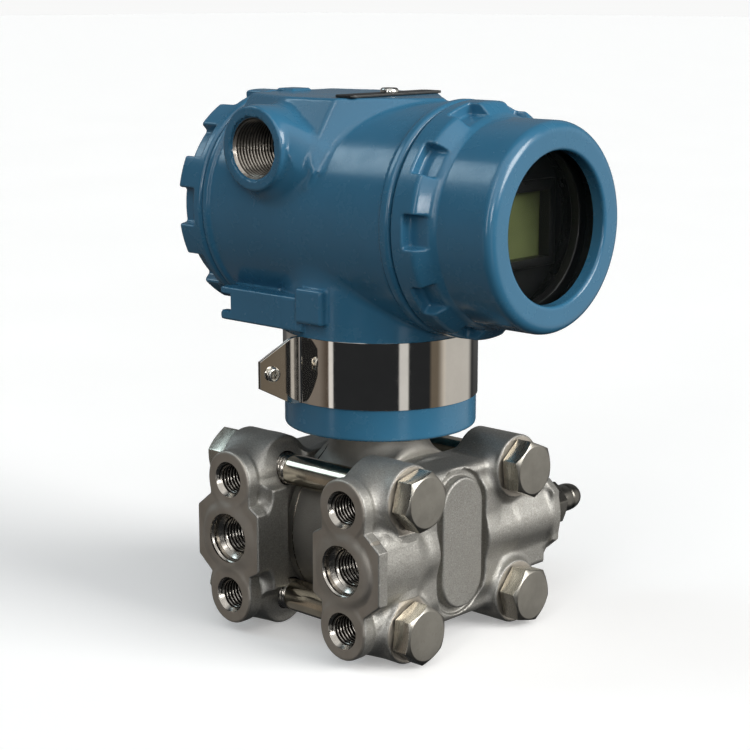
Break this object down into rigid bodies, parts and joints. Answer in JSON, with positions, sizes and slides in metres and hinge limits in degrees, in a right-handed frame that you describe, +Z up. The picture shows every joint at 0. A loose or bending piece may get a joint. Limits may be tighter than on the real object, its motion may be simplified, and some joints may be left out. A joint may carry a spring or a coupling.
{
  "type": "differential pressure transmitter",
  "caption": "Differential pressure transmitter: two bolted stainless process flanges round a sensing cell, with a swivelling blue two-compartment head and display window.",
  "frame": {"origin": "centre of the bounding box, on the surface the flanges stand on", "axes": "+Z up, +X towards the display window and the high side, -Y towards the process ports, +Y towards the vent valves"},
  "size_m": [0.1368, 0.1272, 0.187],
  "materials": {
    "blue_enamel": "gloss enamel over die-cast aluminium, slight orange peel",
    "cast_stainless": "investment-cast stainless steel, bead blasted, machined port faces",
    "machined_stainless": "turned stainless steel",
    "bolt_steel": "bright stainless fasteners",
    "thin_foil_steel": "thin stainless sheet",
    "polished_sheet": "mirror-polished stainless sheet",
    "plated_steel": "nickel-plated steel",
    "plate_steel": "brushed stainless sheet",
    "seal_rubber": "nitrile rubber",
    "window": "toughened glass",
    "black_anodised": "black anodised ring",
    "board_laminate": "green circuit board",
    "display_glass": "olive liquid-crystal glass",
    "black_moulding": "black moulded plastic",
    "terminal_brass": "nickel-brass screws"
  },
  "bodies": {
    "process": {"sensor_cell": "machined_stainless", "isolating_diaphragms": "thin_foil_steel", "capacitor_capsule": "thin_foil_steel", "cell_header": "machined_stainless", "process_seals": "seal_rubber", "high_flange": "cast_stainless", "low_flange": "cast_stainless", "flange_bolts": "bolt_steel", "flange_nuts": "bolt_steel", "vent_seat_high": "machined_stainless", "vent_seat_low": "machined_stainless", "neck_seal": "seal_rubber", "neck_retainer": "thin_foil_steel"},
    "head": {"electronics_housing": "blue_enamel", "nameplate_band": "polished_sheet", "band_screw": "plated_steel", "band_nut": "plated_steel", "plate_screw": "plated_steel", "amplifier_board": "board_laminate", "board_standoffs": "plated_steel", "display_board": "board_laminate", "lcd_panel": "display_glass", "display_bezel": "black_moulding", "terminal_block": "black_moulding", "terminal_screws": "terminal_brass", "ground_screw": "plated_steel"},
    "plate": {"access_plate": "plate_steel"},
    "zero": {"zero_screw": "plated_steel"},
    "span": {"span_screw": "plated_steel"},
    "front_seal": {"front_cover_seal": "seal_rubber"},
    "window_cover": {"front_cover": "blue_enamel", "window_gasket": "seal_rubber", "window_glass": "window", "window_retainer": "black_anodised"},
    "rear_seal": {"rear_cover_seal": "seal_rubber"},
    "back_cover": {"rear_cover": "blue_enamel"},
    "vent_seal_high": {"vent_ring_high": "seal_rubber"},
    "vent_high": {"vent_stem_high": "machined_stainless"},
    "vent_seal_low": {"vent_ring_low": "seal_rubber"},
    "vent_low": {"vent_stem_low": "machined_stainless"}
  },
  "joints": [
    {"name": "head_swivel", "type": "hinge", "parent": "process", "child": "head", "pos_m": [-0.00765, -0.01435, 0.084], "axis": [0, 0, 1], "range_deg": [-90, 90]},
    {"name": "plate_swing", "type": "hinge", "parent": "head", "child": "plate", "pos_m": [-0.00365, -0.01435, 0.1845], "axis": [0, 0, 1], "range_deg": [0, 90]},
    {"name": "zero_adjust", "type": "hinge", "parent": "head", "child": "zero", "pos_m": [-0.00365, -0.03235, 0.183], "axis": [0, 0, 1], "continuous": true},
    {"name": "span_adjust", "type": "hinge", "parent": "head", "child": "span", "pos_m": [-0.00365, 0.00365, 0.183], "axis": [0, 0, 1], "continuous": true},
    {"name": "front_cover_travel", "type": "slide", "parent": "head", "child": "front_seal", "axis": [1, 0, 0], "range_m": [0, 0.012]},
    {"name": "front_cover_turn", "type": "hinge", "parent": "front_seal", "child": "window_cover", "pos_m": [0.04235, -0.01435, 0.1456], "axis": [1, 0, 0], "range_deg": [0, 2159]},
    {"name": "rear_cover_travel", "type": "slide", "parent": "head", "child": "rear_seal", "axis": [-1, 0, 0], "range_m": [0, 0.012]},
    {"name": "rear_cover_turn", "type": "hinge", "parent": "rear_seal", "child": "back_cover", "pos_m": [-0.06265, -0.01435, 0.1456], "axis": [-1, 0, 0], "range_deg": [0, 2159]},
    {"name": "vent_high_travel", "type": "slide", "parent": "process", "child": "vent_seal_high", "axis": [0, 1, 0], "range_m": [0, 0.003]},
    {"name": "vent_high_turn", "type": "hinge", "parent": "vent_seal_high", "child": "vent_high", "pos_m": [0.01935, 0.05565, 0.034], "axis": [0, 1, 0], "range_deg": [0, 1079]},
    {"name": "vent_low_travel", "type": "slide", "parent": "process", "child": "vent_seal_low", "axis": [0, 1, 0], "range_m": [0, 0.003]},
    {"name": "vent_low_turn", "type": "hinge", "parent": "vent_seal_low", "child": "vent_low", "pos_m": [-0.03465, 0.05565, 0.034], "axis": [0, 1, 0], "range_deg": [0, 1079]}
  ],
  "couplings": [
    {"joint": "front_cover_travel", "follows": "front_cover_turn", "m_per_rad": 0.00031831},
    {"joint": "rear_cover_travel", "follows": "rear_cover_turn", "m_per_rad": 0.00031831},
    {"joint": "vent_high_travel", "follows": "vent_high_turn", "m_per_rad": 0.00015915},
    {"joint": "vent_low_travel", "follows": "vent_low_turn", "m_per_rad": 0.00015915}
  ]
}
